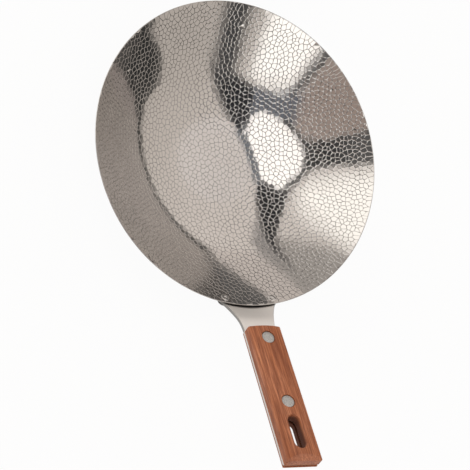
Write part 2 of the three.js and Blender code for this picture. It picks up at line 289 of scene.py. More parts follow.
def pebble_seeds():
    """Middles of the pebbles on the flattened sheet: a triangular lattice, each point moved at random.

    The outermost ones are mirrored across the rim, so that the pebbles end on the rim's circle.
    """
    rng = np.random.default_rng(PEBBLE_SEED)
    count = int(1.2 * LINE.length / PEBBLE_SPACING) + 3
    row, column = np.mgrid[-count:count + 1, -count:count + 1]
    lattice = np.stack([column + 0.5 * (row % 2), row * math.sqrt(3) / 2], axis=-1).reshape(-1, 2)
    lattice = lattice + rng.uniform(-PEBBLE_JITTER, PEBBLE_JITTER, lattice.shape)
    points = lattice * PEBBLE_SPACING
    points = points[np.hypot(*points.T) < LINE.length - 0.25 * PEBBLE_SPACING]
    reach = np.hypot(*points.T)
    edge = reach > LINE.length - 3 * PEBBLE_SPACING
    mirrored = points[edge] * (2 * LINE.length / reach[edge] - 1)[:, None]
    return points, mirrored, rng


def circumcentres(a, b, c):
    """Centre of the circle through three points, for whole arrays of triangles."""
    ab, ac = b - a, c - a
    d = 2 * (ab[:, 0] * ac[:, 1] - ab[:, 1] * ac[:, 0])
    b2, c2 = (ab ** 2).sum(axis=1), (ac ** 2).sum(axis=1)
    x = (ac[:, 1] * b2 - ab[:, 1] * c2) / d
    y = (ab[:, 0] * c2 - ac[:, 0] * b2) / d
    return a + np.stack([x, y], axis=-1)


def pebble_sheet():
    """Embossed inside of the bowl on the flattened sheet, as points, depths, groove shares and faces.

    Each pebble is the region nearest to its middle. Its border is the bottom of the groove that it
    shares with its neighbours. Two rings run inside that border at one and two groove halves from it,
    and the pebble rises from the groove over its shoulder to a low crown that leans a little at random.
    """
    inner, mirrored, rng = pebble_seeds()
    seeds = np.concatenate([inner, mirrored])
    made = delaunay_2d_cdt([Vector(p) for p in seeds.tolist()], [], [], 0, 1e-9)
    source = np.array([ids[0] for ids in made[3]])
    triangles = source[np.array(made[2])]
    corners = seeds[triangles]
    middles = circumcentres(corners[:, 0], corners[:, 1], corners[:, 2])
    n, t = len(inner), len(triangles)
    at_rim = (triangles >= n).any(axis=1) & (triangles < n).any(axis=1)
    middles[at_rim] *= (LINE.length / np.hypot(*middles[at_rim].T))[:, None]

    # Rings of every pebble, one point for each of its corners
    sides = np.linalg.norm(np.roll(corners, -1, axis=1) - corners, axis=2)
    inset = (sides + np.roll(sides, 1, axis=1)) / 4
    to_corner = middles[:, None, :] - corners
    share = np.clip(1 - GROOVE_HALF / inset, 0.45, 0.95)
    ring_low = corners + to_corner * share[..., None]
    ring_high = corners + to_corner * (2 * share - 1).clip(0.25)[..., None]
    points = np.concatenate([inner, ring_high.reshape(-1, 2), ring_low.reshape(-1, 2), middles])

    # Depth under the surface, with each pebble leaning its own way
    lean = rng.normal(0, PEBBLE_TILT, (len(seeds), 2))

    def leaning(ring):
        """Distance from the pebble's middle along its lean."""
        return ((ring - corners) * lean[triangles]).sum(axis=2).reshape(-1)

    depth = np.concatenate([
        np.zeros(n),
        CROWN_DROP + leaning(ring_high),
        SHOULDER_DROP + leaning(ring_low),
        np.where(at_rim, 0.5, 1.0) * GROOVE_DEPTH,
    ])
    groove = np.concatenate([np.zeros(n), np.zeros(3 * t), np.full(3 * t, 0.3), np.where(at_rim, 0.6, 1.0)])

    # Each side of a pebble: the corner before it and the corner after it, from the two triangles
    triangle, place = np.divmod(np.arange(3 * t), 3)
    start = triangles.reshape(-1)
    end = np.roll(triangles, -1, axis=1).reshape(-1)
    order = np.argsort(start * len(seeds) + end)
    keys = (start * len(seeds) + end)[order]
    own = np.flatnonzero(start < n)
    twin = order[np.searchsorted(keys, (end * len(seeds) + start)[own])]
    after, before = own, 3 * triangle[twin] + (place[twin] + 1) % 3
    high, low, bottom = n, n + 3 * t, n + 6 * t
    crown = np.stack([start[own], high + before, high + after], axis=-1)
    shoulder = np.stack([high + before, low + before, low + after, high + after], axis=-1)
    flank = np.stack([low + before, bottom + triangle[twin], bottom + triangle[own], low + after], axis=-1)
    rim_order = bottom + triangle[own][end[own] >= n]
    return points, depth, groove, [crown, shoulder, flank], rim_order


def rivet_places():
    """Distance along the sheet and azimuth of the two wall rivets."""
    s = LINE.length - WALL_RIVET_BELOW_RIM
    return [("wall_rivet_left", s, -WALL_RIVET_ANGLE), ("wall_rivet_right", s, WALL_RIVET_ANGLE)]


def make_bowl(inside, outside):
    """Bowl as one closed body: the pebble sheet laid on the inside, a round rim and a smooth outside.

    A point of the flattened sheet keeps its distance from the middle and its azimuth. The rim is a
    half circle from the inside to the outside, and the outside is turned and thins towards the rim,
    with a column of points at each place where a groove meets the rim.
    """
    points, depth, groove, faces, rim = pebble_sheet()
    for _, s, azimuth in rivet_places():
        centre = s * np.array([math.cos(azimuth), math.sin(azimuth)])
        away = np.hypot(*(points - centre).T)
        pressed = smooth_step((away - WALL_HEAD_RADIUS) / (0.5 * WALL_HEAD_RADIUS))
        depth = depth * pressed
        groove = groove * pressed
    s = np.minimum(np.hypot(*points.T), LINE.length)
    azimuth = np.arctan2(points[:, 1], points[:, 0])
    r, z = LINE.point(s, depth - SHEET / 2)
    laid = np.stack([r * np.cos(azimuth), r * np.sin(azimuth), z], axis=-1)

    # Rim and outside, row by row, from the inner edge of the rim to the middle of the base
    rim = rim[np.argsort(azimuth[rim])]
    turn = np.linspace(0, np.pi, 9)[1:]
    rim_r, rim_z = LINE.point(LINE.length, LIP_HALF * (1 - np.cos(turn)) - SHEET / 2)
    rim_r = rim_r + LIP_HALF * np.sin(turn) * math.cos(LINE.rim_slope)
    rim_z = rim_z + LIP_HALF * np.sin(turn) * math.sin(LINE.rim_slope)
    taper = LINE.length - LIP_TAPER * np.linspace(0, 1, 8)[1:]
    down = np.concatenate([taper, np.linspace(taper[-1], FLOOR_RADIUS, 40)[1:]])
    down = np.concatenate([down, FLOOR_RADIUS * np.array([0.97, 0.7, 0.35])])
    thinned = smooth_step((down - LINE.length + LIP_TAPER) / LIP_TAPER)
    out_r, out_z = LINE.point(down, SHEET / 2 - (SHEET - 2 * LIP_HALF) * thinned)
    row_r, row_z = np.concatenate([rim_r, out_r]), np.concatenate([rim_z, out_z])
    a = azimuth[rim]
    rows = np.stack([np.outer(row_r, np.cos(a)), np.outer(row_r, np.sin(a)),
                     np.outer(row_z, np.ones(len(a)))], axis=-1)
    first = len(laid)
    index = np.concatenate([rim[None, :], first + np.arange(rows.shape[0] * len(a)).reshape(-1, len(a))])
    ahead = np.roll(index, -1, axis=1)
    skin = np.stack([ahead[:-1], index[:-1], index[1:], ahead[1:]], axis=-1).reshape(-1, 4)
    middle = first + rows.shape[0] * len(a)
    base = np.stack([ahead[-1], index[-1], np.full(len(a), middle)], axis=-1)
    every = np.concatenate([laid, rows.reshape(-1, 3), [[0, 0, 0]]])
    groove = np.concatenate([groove, np.zeros(len(every) - len(groove))])

    # Leave out the points that no face uses
    blocks = [*faces, skin, base]
    used = np.unique(np.concatenate([b.reshape(-1) for b in blocks]))
    place = np.zeros(len(every), int)
    place[used] = np.arange(len(used))
    bowl = make_piece("bowl", every[used], [place[b] for b in blocks], inside)
    bowl.data.materials.append(outside)
    lip = len(turn) * len(a)
    count = [*(len(b) for b in faces), lip, len(skin) - lip, len(base)]
    slots = np.repeat([0, 0, 0, 0, 1, 1], count)
    bowl.data.polygons.foreach_set("material_index", slots)
    layer = bowl.data.attributes.new("groove", "FLOAT", "POINT")
    layer.data.foreach_set("value", groove[used].astype(np.float32))

    # The bottom of a groove is a crease
    ends = np.zeros(2 * len(bowl.data.edges), int)
    bowl.data.edges.foreach_get("vertices", ends)
    crease = (groove[used][ends.reshape(-1, 2)] > 0.5).all(axis=1)
    sharp = bowl.data.attributes.new("sharp_edge", "BOOLEAN", "EDGE")
    sharp.data.foreach_set("value", crease)
    return bowl


# Handle plate

PLATE_OFFSET = SHEET / 2 + SEAT_GAP + PLATE / 2
BEND_LENGTH = NECK_BEND_RADIUS * (LINE.rim_slope - HANDLE_RISE)
BEND_END = NECK_STRAIGHT + BEND_LENGTH
SCALE_START = BEND_END + NECK_LEAD
PLATE_END = SCALE_START + SCALE_LENGTH - TANG_SETBACK


def handle_line(s):
    """Middle of the plate in the plane of the handle: down the wall, or up round the bend and out."""
    wall_s = LINE.length + np.minimum(s, 0) * LINE.radii[2] / (LINE.radii[2] + PLATE_OFFSET)
    x, z = LINE.point(wall_s, PLATE_OFFSET)
    rim = LINE.rim_slope
    straight = np.clip(s, 0, NECK_STRAIGHT)
    a = rim - np.clip(s - NECK_STRAIGHT, 0, BEND_LENGTH) / NECK_BEND_RADIUS
    after = np.maximum(s - BEND_END, 0)
    x = x + straight * math.cos(rim) + NECK_BEND_RADIUS * (math.sin(rim) - np.sin(a))
    z = z + straight * math.sin(rim) + NECK_BEND_RADIUS * (np.cos(a) - math.cos(rim))
    return x + after * math.cos(HANDLE_RISE), z + after * math.sin(HANDLE_RISE)


def plate_middle(s, y):
    """Handle line carried across: round the bowl below the rim, and flat from the bend's end on."""
    x, z = handle_line(s)
    wrap = 1 - smooth_step(s / BEND_END)
    return np.stack([x - wrap * (x - np.sqrt(x * x - y * y)), y, z], axis=-1)


def plate_normal(s, y):
    """Unit normal of the plate's middle: the cross product of its small steps along and across."""
    e = 0.02 * MM
    along = plate_middle(s + e, y) - plate_middle(s - e, y)
    across = plate_middle(s, y + e) - plate_middle(s, y - e)
    normal = np.cross(along, across)
    return normal / np.linalg.norm(normal, axis=-1, keepdims=True)


def scale_half_width(h):
    """Half width of a scale, growing evenly towards the rear."""
    return SCALE_FRONT_HALF + (SCALE_REAR_HALF - SCALE_FRONT_HALF) * h / SCALE_LENGTH


def rounded_in(distance, radius):
    """How far a round corner of that radius has cut in, at a distance from its end."""
    left = np.clip(radius - distance, 0, radius)
    return radius - np.sqrt(radius ** 2 - left ** 2)


def plate_half_width(s):
    """Rounded flange, concave flare of the neck, then the tang under the scales."""
    flare = np.clip((s - FLARE_START) / (SCALE_START - FLARE_START), 0, 1)
    neck = SCALE_FRONT_HALF + (FLANGE_HALF_WIDTH - SCALE_FRONT_HALF) * (1 - flare) ** 2
    tang = scale_half_width(np.maximum(s - SCALE_START, 0)) - SCALE_FRONT_HALF
    ends = rounded_in(s + FLANGE_LENGTH, FLANGE_CORNER) + rounded_in(PLATE_END - s, REAR_CORNER)
    return neck + tang - ends


def strip_section(across, edge_steps):
    """Loop round a flat strip as shares: across from -1 to 1 and back, and round each edge."""
    flat = np.linspace(-1, 1, across)
    turn = np.linspace(-np.pi / 2, np.pi / 2, edge_steps + 2)[1:-1]
    y = np.concatenate([flat, np.ones(edge_steps), flat[::-1], -np.ones(edge_steps)])
    edge = np.concatenate([np.zeros(across), np.cos(turn), np.zeros(across), -np.cos(turn)])
    up = np.concatenate([-np.ones(across), np.sin(turn), np.ones(across), -np.sin(turn)])
    return y, edge, up


def end_rows(low, high, middle, edge, steps=4):
    """Places along a body, close together at both ends where the edges are rounded."""
    near = edge * (1 - np.cos(np.linspace(0, np.pi / 2, steps)))
    return np.concatenate([low + near, middle, high - near[::-1]])


def make_plate(material):
    """Plate as a strip: its section with round edges is carried along the handle line."""
    corner = -FLANGE_LENGTH + FLANGE_CORNER * (1 - np.cos(np.linspace(0.35, np.pi / 2, 12)))
    neck = np.linspace(corner[-1], SCALE_START, 56)[1:]
    tang = np.linspace(SCALE_START, PLATE_END - 2 * MM, 20)[1:]
    s = end_rows(-FLANGE_LENGTH, PLATE_END, np.concatenate([corner, neck, tang]), PLATE_EDGE)
    y, edge, up = strip_section(25, 3)
    ends = rounded_in(s + FLANGE_LENGTH, PLATE_EDGE) + rounded_in(PLATE_END - s, PLATE_EDGE)
    half = plate_half_width(s) - PLATE_EDGE - ends
    width = half[:, None] * y + PLATE_EDGE * edge
    height = (PLATE / 2 - ends)[:, None] * up
    place = np.broadcast_to(s[:, None], width.shape)
    rings = plate_middle(place, width) + plate_normal(place, width) * height[..., None]
    points, faces = capped_tube(rings)
    return make_piece("plate", points, faces, material)


# Handle frame: along the handle, across it, and up from the tang's middle

HANDLE_X, HANDLE_Z = (float(v) for v in handle_line(np.array(SCALE_START)))
HANDLE_AXES = np.array([
    [math.cos(HANDLE_RISE), 0, math.sin(HANDLE_RISE)],
    [0, 1, 0],
    [-math.sin(HANDLE_RISE), 0, math.cos(HANDLE_RISE)],
])


def on_handle(points):
    """Points of the handle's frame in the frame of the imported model."""
    return points @ HANDLE_AXES + np.array([HANDLE_X, 0, HANDLE_Z])


def crown_height(half, share):
    """Height of a scale's outer face over the tang, at a share of its half width: a circle's arc."""
    radius = (SCALE_FRONT_HALF ** 2 + half.crown ** 2) / (2 * half.crown)
    return half.thickness - radius + np.sqrt(radius ** 2 - (share * SCALE_FRONT_HALF) ** 2)


def slot_outline(grow):
    """Slot with round ends, as rows of points along and across the handle, one row for each widening."""
    steps = 26
    half_turn = np.linspace(-np.pi / 2, np.pi / 2, steps)
    turn = np.concatenate([half_turn, half_turn + np.pi])
    run = np.repeat([1, -1], steps) * (SLOT_LENGTH - SLOT_WIDTH) / 2
    radius = SLOT_WIDTH / 2 + np.asarray(grow)[:, None]
    return SLOT_AT + run + radius * np.cos(turn), radius * np.sin(turn)


def scale_slot_cutter(half):
    """Slot through a scale, widened at the outer face by a quarter circle that follows the crown."""
    a = np.linspace(0, np.pi / 2, 7)
    grow = np.concatenate([[0], SLOT_MOUTH * (1 - np.cos(a)), [SLOT_MOUTH]])
    along, across = slot_outline(grow)
    face = crown_height(half, across / scale_half_width(SLOT_AT))
    down = np.concatenate([[0], SLOT_MOUTH * (1 - np.sin(a)), [-2 * MM]])
    level = PLATE / 2 + face - down[:, None]
    level[0] = -PLATE / 2
    rings = np.stack([along, across, half.sign * level], axis=-1)
    points, faces = capped_tube(rings if half.sign > 0 else rings[:, ::-1])
    return make_piece("slot_cutter", on_handle(points), faces, None)


def tang_slot_cutter():
    """Slot through the tang, a little wider than the one in the wood."""
    along, across = slot_outline([TANG_SLOT_RELIEF, TANG_SLOT_RELIEF])
    level = np.broadcast_to(np.array([[-PLATE], [PLATE]]), along.shape)
    points, faces = capped_tube(np.stack([along, across, level], axis=-1))
    return make_piece("slot_cutter", on_handle(points), faces, None)


def recess_cutter(at, half):
    """Round recess for a rivet head, from the head's underside out past the wood."""
    low = PLATE / 2 + half.thickness - RIVET_RECESS - RIVET_HEAD - RIVET_FIT
    high = low + 2 * half.thickness
    radius = RIVET_HEAD_RADIUS + RIVET_FIT
    profile = [(0, low), (radius, low), (radius, high), (0, high)]
    point = on_handle(np.array([at, 0, 0]))
    points, faces = turned(profile, point, half.sign * HANDLE_AXES[2])
    return make_piece("recess_cutter", points, faces, None)


def bevel_cutter(half):
    """Wedge that takes the bevel off the rear end: four corners of its side, carried across the handle."""
    level = PLATE / 2 + half.thickness
    slope = half.bevel_drop / half.bevel_run
    start, end = -4 * half.bevel_run, 3 * half.bevel_run
    side = np.array([[start, level - slope * start], [end, level - slope * end],
                     [end, 3 * level], [start, 3 * level]])
    side[:, 0] += SCALE_LENGTH - half.bevel_run
    across = 2 * SCALE_REAR_HALF * np.array([-1, 1])
    rings = np.stack([np.broadcast_to(side[:, 0], (2, 4)), np.repeat(across[:, None], 4, axis=1),
                      np.broadcast_to(half.sign * side[:, 1], (2, 4))], axis=-1)
    points, faces = capped_tube(rings[:, ::-1] if half.sign > 0 else rings)
    return make_piece("bevel_cutter", on_handle(points), faces, None)


def make_scale(name, half, material):
    """Scale as a bar: its section is carried along the handle, and widens towards the rear.

    The section is flat on the tang, with low straight sides, round shoulders and a crown. The corners
    are rounded in plan and the edges of both ends are broken. The rear bevel, the slot and the rivet
    recesses are cut.
    """
    h = end_rows(0, SCALE_LENGTH, np.concatenate([
        np.linspace(SCALE_EDGE, FRONT_CORNER, 6)[1:],
        np.linspace(FRONT_CORNER, SCALE_LENGTH - REAR_CORNER, 40)[1:],
        np.linspace(SCALE_LENGTH - REAR_CORNER, SCALE_LENGTH - SCALE_EDGE, 6)[1:-1],
    ]), SCALE_EDGE)
    ends = rounded_in(h, SCALE_EDGE) + rounded_in(SCALE_LENGTH - h, SCALE_EDGE)
    corners = rounded_in(h, FRONT_CORNER) + rounded_in(SCALE_LENGTH - h, REAR_CORNER)
    wide = (scale_half_width(h) - corners - ends)[:, None]
    over = np.linspace(0, np.pi / 2, SHOULDER_POINTS)
    flat = np.linspace(-1, 1, UNDER_POINTS)
    top = np.linspace(1, -1, CROWN_POINTS + 2)[1:-1]
    sides = np.ones(SHOULDER_POINTS)
    counts = (UNDER_POINTS, SHOULDER_POINTS, CROWN_POINTS, SHOULDER_POINTS)
    shape_y = np.concatenate([flat, sides, top, -sides])
    turn = np.concatenate([0 * flat, over, np.full(CROWN_POINTS, np.pi / 2), over[::-1]])
    on_edge = np.repeat([0.0, 1.0, 0.0, 1.0], counts)
    under = np.repeat([True, False, False, False], counts)
    rounded = on_edge * np.sign(shape_y) * half.round_over * np.cos(turn)
    outer_y = (wide - half.round_over) * shape_y + rounded
    y = np.where(under, wide * shape_y, outer_y)
    face = crown_height(half, y / scale_half_width(h)[:, None])
    v = face - ends[:, None] - on_edge * half.round_over * (1 - np.sin(turn))
    v = np.where(under, 0.4 * ends[:, None], v)
    rings = np.stack([np.broadcast_to(h[:, None], y.shape), y, half.sign * (PLATE / 2 + v)], axis=-1)
    points, faces = capped_tube(rings if half.sign > 0 else rings[:, ::-1])
    scale = make_piece(name, on_handle(points), faces, material)
    recesses = [recess_cutter(at, half) for at in RIVETS_AT.values()]
    return cut(scale, [bevel_cutter(half), scale_slot_cutter(half), *recesses])


# Rivets

def make_rivet(name, profile, point, axis, material):
    """Rivet as a turned body with creased corners."""
    points, faces = turned(profile, point, axis)
    rivet = make_piece(name, points, faces, material)
    rivet.data.set_sharp_from_angle(angle=RIVET_CREASE)
    return rivet


def make_handle_rivet(name, at, half, material):
    """Half of a handle rivet: a flat head with a broken edge, and the tube or the pin under it."""
    top = PLATE / 2 + half.thickness - RIVET_RECESS
    under = top - RIVET_HEAD
    e = RIVET_EDGE
    profile = [
        (0, -RIVET_REACH), (half.shank, -RIVET_REACH), (half.shank, under), (RIVET_HEAD_RADIUS, under),
        (RIVET_HEAD_RADIUS, top - e), (RIVET_HEAD_RADIUS - 0.3 * e, top - 0.3 * e),
        (RIVET_HEAD_RADIUS - e, top), (0.5 * RIVET_HEAD_RADIUS, top + RIVET_DOME_HALFWAY),
        (0, top + RIVET_DOME),
    ]
    point = on_handle(np.array([at, 0, 0]))
    return make_rivet(name, profile, point, half.sign * HANDLE_AXES[2], material)


def make_wall_rivet(name, s, azimuth, material):
    """Wall rivet: a dimpled flush head in the bowl, the shank, and a domed head on the flange."""
    r, z = LINE.point(s, 0)
    slope = float(LINE.slope(s))
    point = (r * math.cos(azimuth), r * math.sin(azimuth), z)
    out = math.sin(slope)
    axis = (out * math.cos(azimuth), out * math.sin(azimuth), -math.cos(slope))
    top = -SHEET / 2 - WALL_HEAD_PROUD
    flange = SHEET / 2 + SEAT_GAP + PLATE + SEAT_GAP
    e = RIVET_EDGE
    dimple = [(DIMPLE_RADIUS * q, top + DIMPLE_DEPTH * (1 - q * q)) for q in (0, 0.4, 0.7, 0.9)]
    dome = [(WALL_FORMED_RADIUS * math.cos(q), flange + WALL_FORMED_HEIGHT * math.sin(q))
            for q in np.linspace(0, np.pi / 2, 12)[:-1]]
    profile = [
        *dimple, (DIMPLE_RADIUS * 1.15, top), (WALL_HEAD_RADIUS - e, top),
        (WALL_HEAD_RADIUS - 0.3 * e, top + 0.3 * e), (WALL_HEAD_RADIUS, top + e),
        (WALL_HEAD_RADIUS, top + WALL_HEAD), (WALL_SHANK_RADIUS, top + WALL_HEAD),
        (WALL_SHANK_RADIUS, flange), *dome, (0, flange + WALL_FORMED_HEIGHT),
    ]
    return make_rivet(name, profile, point, axis, material)


# Materials

class Value:
    """A node's output, with Python's operators as Math nodes."""

    def __init__(self, net, socket):
        self.net = net
        self.socket = socket

    def math(self, operation, *values):
        """A Math node on numbers and values."""
        return self.net.node("ShaderNodeMath", {"operation": operation}, dict(enumerate(values)))

    def __add__(self, other):
        return self.math("ADD", self, other)

    def __radd__(self, other):
        return self.math("ADD", other, self)

    def __sub__(self, other):
        return self.math("SUBTRACT", self, other)

    def __rsub__(self, other):
        return self.math("SUBTRACT", other, self)

    def __mul__(self, other):
        return self.math("MULTIPLY", self, other)

    def __rmul__(self, other):
        return self.math("MULTIPLY", other, self)

    def __truediv__(self, other):
        return self.math("DIVIDE", self, other)

    def __rtruediv__(self, other):
        return self.math("DIVIDE", other, self)

    def __pow__(self, other):
        return self.math("POWER", self, other)

    def __abs__(self):
        return self.math("ABSOLUTE", self)

    def at_least(self, other):
        """The greater of the two."""
        return self.math("MAXIMUM", self, other)

    def rise(self, low, high):
        """Smooth step from 0 at low to 1 at high."""
        settings = {"interpolation_type": "SMOOTHSTEP"}
        return self.net.node("ShaderNodeMapRange", settings, {"Value": self, 1: low, 2: high})


class Net:
    """A node tree that is filled by expressions."""

    def __init__(self, tree):
        self.tree = tree
        tree.nodes.clear()

    def node(self, kind, settings=None, sockets=None, out=0):
        """Adds a node, sets its settings and its sockets, and gives one of its outputs."""
        made = self.tree.nodes.new(kind)
        for name, value in (settings or {}).items():
            setattr(made, name, value)
        for name, value in (sockets or {}).items():
            socket = made.inputs[name]
            if isinstance(value, Value):
                self.tree.links.new(value.socket, socket)
            else:
                socket.default_value = value
        return Value(self, made.outputs[out]) if made.outputs else None

    def mix(self, share, a, b):
        """Colour a where the share is 0 and colour b where it is 1."""
        sockets = {"Factor": share, 6: a, 7: b}
        return self.node("ShaderNodeMix", {"data_type": "RGBA"}, sockets, out=2)

    def noise(self, place, scale, detail=2, rough=0.5):
        """Cloudy noise about one half."""
        sockets = {"Vector": place, "Scale": scale, "Detail": detail, "Roughness": rough}
        return self.node("ShaderNodeTexNoise", {}, sockets)

    def place(self, scale=(1, 1, 1), turn=(0, 0, 0)):
        """Object coordinates, turned and then stretched."""
        source = self.node("ShaderNodeTexCoord", out=3)
        turned_to = self.node("ShaderNodeMapping", {}, {"Vector": source, "Rotation": turn})
        return self.node("ShaderNodeVectorMath", {"operation": "MULTIPLY"}, {0: turned_to, 1: scale})

    def split(self, vector):
        """The three parts of a vector."""
        return [self.node("ShaderNodeSeparateXYZ", {}, {"Vector": vector}, out=i) for i in range(3)]

    def bump(self, height, strength, distance):
        """Normal of a surface with that height."""
        sockets = {"Height": height, "Strength": strength, "Distance": distance}
        return self.node("ShaderNodeBump", {}, sockets)

    def vector_math(self, operation, a, b):
        """A number from two vectors."""
        return self.node("ShaderNodeVectorMath", {"operation": operation}, {0: a, 1: b}, out=1)


def surface(name, build):
    """A material whose Principled sockets come from a function of its node tree."""
    material = bpy.data.materials.new(name)
    material.use_nodes = True
    net = Net(material.node_tree)
    shader = net.node("ShaderNodeBsdfPrincipled", {}, build(net))
    net.node("ShaderNodeOutputMaterial", {}, {"Surface": shader})
    return material


def embossed_steel(net):
    """Polished steel with a fine satin grain, darker towards the rim, with painted shade in the grooves."""
    groove = net.node("ShaderNodeAttribute", {"attribute_name": "groove"}, out=2)
    place = net.place()
    cloud = net.noise(place, 22, detail=3)
    grain = net.noise(place, 2600, detail=2)
    bright = net.mix(cloud, (0.585, 0.555, 0.53, 1), (0.635, 0.605, 0.58, 1))
    _, _, height = net.split(place)
    # The colour darkens a little towards the rim.
    wall = net.mix(height.rise(6 * MM, 34 * MM) * 0.15, bright, (0.20, 0.19, 0.18, 1))
    # Painted shade in the grooves: the base colour darkens where the groove share is high, varied by noise
    # and a little less higher up the wall.
    in_groove = groove.rise(0.25, 1.0)
    shade_noise = net.noise(place, 70, detail=2).rise(0.35, 0.65)
    groove_shade = in_groove * (0.73 + 0.4 * shade_noise - 0.15 * height.rise(2 * MM, 14 * MM))
    return {
        "Base Color": net.mix(groove_shade, wall, (0.13, 0.128, 0.126, 1)),
        "Metallic": 1.0,
        "Roughness": 0.07 + 0.03 * cloud + 0.1 * in_groove,
        "Normal": net.bump(grain, 0.06, 0.02 * MM),
    }


def turned_steel(net):
    """Satin steel with fine rings from polishing on the lathe."""
    place = net.place()
    x, y, z = net.split(place)
    radius = (x * x + y * y) ** 0.5
    ring = net.node("ShaderNodeCombineXYZ", {}, {"X": radius * 1800, "Y": z * 1800, "Z": 0.0})
    lines = net.noise(ring, 1.0, detail=4, rough=0.65)
    cloud = net.noise(place, 30, detail=3)
    return {
        "Base Color": net.mix(lines, (0.48, 0.465, 0.45, 1), (0.60, 0.585, 0.565, 1)),
        "Metallic": 1.0,
        "Roughness": 0.26 + 0.1 * cloud + 0.06 * lines,
        "Normal": net.bump(lines, 0.15, 0.03 * MM),
    }


def satin_plate(net):
    """Satin steel with fine lines along the handle.

    It has a painted dark reflection on the neck's cut edges, a painted shadow in the corner under the pan's
    rim, and painted brownish shade on the tang along the wood.
    """
    place = net.place(scale=(40, 2600, 260), turn=(0, HANDLE_RISE, 0))
    lines = net.noise(place, 1.0, detail=3, rough=0.6)
    cloud = net.noise(net.place(), 60, detail=3)
    unshaded = net.mix(lines, (0.82, 0.79, 0.755, 1), (0.92, 0.89, 0.86, 1))
    x, y, _ = net.split(net.place())
    _, sideways, upwards = net.split(net.node("ShaderNodeNewGeometry", out=1))
    along, _, _ = along_handle(net)
    # Painted brownish shade on the tang between the scales, from just before the front of the wood on.
    tang_shade = along.rise(-1 * MM, 2 * MM)
    # Painted dark reflection on the neck's cut edges, where the plate's side faces sideways; not on the
    # tang.
    edge_reflection_mask = abs(sideways).rise(0.35, 0.6) * (1 - tang_shade)
    edge_reflected = net.mix(edge_reflection_mask * 0.8, unshaded, (0.17, 0.16, 0.15, 1))
    # Painted shadow on the plate's upper face just past the pan's rim.
    past_rim = (x * x + y * y) ** 0.5 + 4 * y * y - RIM_RADIUS
    corner = (1 - past_rim.rise(0.7 * MM, 2.4 * MM)) * upwards.rise(0.2, 0.6)
    shaded = net.mix(corner * 0.85, edge_reflected, (0.07, 0.06, 0.055, 1))
    return {
        "Base Color": net.mix(tang_shade * 0.45, shaded, (0.42, 0.33, 0.28, 1)),
        "Metallic": 1.0,
        "Roughness": 0.34 + 0.1 * cloud + 0.08 * lines,
        "Normal": net.bump(lines, 0.2, 0.03 * MM),
    }


def rivet_steel(net):
    """Matte steel with a fine tumbled grain."""
    place = net.place()
    grain = net.noise(place, 1500, detail=3)
    cloud = net.noise(place, 160, detail=2)
    return {
        "Base Color": net.mix(grain.rise(0.35, 0.65), (0.43, 0.42, 0.405, 1), (0.61, 0.595, 0.575, 1)),
        "Metallic": 1.0,
        "Roughness": 0.38 + 0.12 * cloud,
        "Normal": net.bump(grain, 0.25, 0.03 * MM),
    }


def polished_steel(net):
    """Polished steel with faint cloudy marks from the press."""
    place = net.place()
    cloud = net.noise(place, 420, detail=3)
    return {
        "Base Color": net.mix(cloud.rise(0.3, 0.7), (0.56, 0.54, 0.52, 1), (0.68, 0.66, 0.64, 1)),
        "Metallic": 1.0,
        "Roughness": 0.14 + 0.1 * cloud,
        "Normal": net.bump(cloud, 0.3, 0.05 * MM),
    }


def along_handle(net):
    """Distance along the handle from the front of the wood, across it, and up from the tang's middle."""
    start = (HANDLE_AXES @ on_handle(np.zeros(3))).tolist()
    place = net.place(turn=(0, HANDLE_RISE, 0))
    return [part - first for part, first in zip(net.split(place), start)]


def reddish_wood(net):
    """Oiled wood: streaks, fine lines and short dark pores along the handle, with painted shade in the cut
    slot and a faint painted sheen on the rear bevel.
    """
    turn = (0, HANDLE_RISE, 0)
    broad = net.noise(net.place((20, 330, 330), turn), 1.0, detail=3, rough=0.6)
    fine = net.noise(net.place((38, 1000, 1000), turn), 1.0, detail=4, rough=0.7)
    pores = net.noise(net.place((90, 2200, 2200), turn), 1.0, detail=1)
    drift = net.noise(net.place((14, 70, 70), turn), 1.0, detail=2)
    streak = broad.rise(0.4, 0.64)
    line = fine.rise(0.38, 0.62)
    pore = pores.rise(0.60, 0.72)
    warm = net.mix(drift.rise(0.3, 0.7), (0.46, 0.140, 0.045, 1), (0.60, 0.225, 0.105, 1))
    dark = net.mix(streak * 0.5, warm, (0.22, 0.052, 0.014, 1))
    lined = net.mix(line * 0.7, dark, (0.20, 0.045, 0.012, 1))
    flecked = net.mix((1 - fine.rise(0.28, 0.4)) * 0.35, lined, (0.72, 0.36, 0.20, 1))
    grained = net.mix(pore * 0.6, flecked, (0.10, 0.03, 0.014, 1))
    along, across, up = along_handle(net)
    past = (abs(along - SLOT_AT) - (SLOT_LENGTH - SLOT_WIDTH) / 2).at_least(0)
    from_slot = (past * past + across * across) ** 0.5
    reach = SLOT_WIDTH / 2 + TANG_SLOT_RELIEF
    # Painted shade on the walls of the cut slot, below the outer face and clear of the underside.
    cut_face = (1 - from_slot.rise(reach, reach + 0.3 * MM)) * (1 - up.rise(5 * MM, 8.8 * MM))
    shaded = cut_face * up.rise(-5.2 * MM, -4 * MM)
    # Painted sheen: the face of the rear bevel is mixed a little towards a paler pink.
    slope = UPPER.bevel_drop / UPPER.bevel_run
    over_bevel = up - (PLATE / 2 + UPPER.thickness) + slope * (along - SCALE_LENGTH + UPPER.bevel_run)
    bevel = 1 - abs(over_bevel).rise(0.1 * MM, 0.3 * MM)
    with_bevel_sheen = net.mix(bevel * 0.1, grained, (0.62, 0.34, 0.25, 1))
    return {
        "Base Color": net.mix(shaded * 0.9, with_bevel_sheen, (0.10, 0.024, 0.007, 1)),
        "Roughness": 0.42 + 0.15 * line + 0.1 * pore + 0.25 * shaded,
        "Normal": net.bump(fine * 0.5 - pore, 0.35, 0.08 * MM),
    }


# Studio

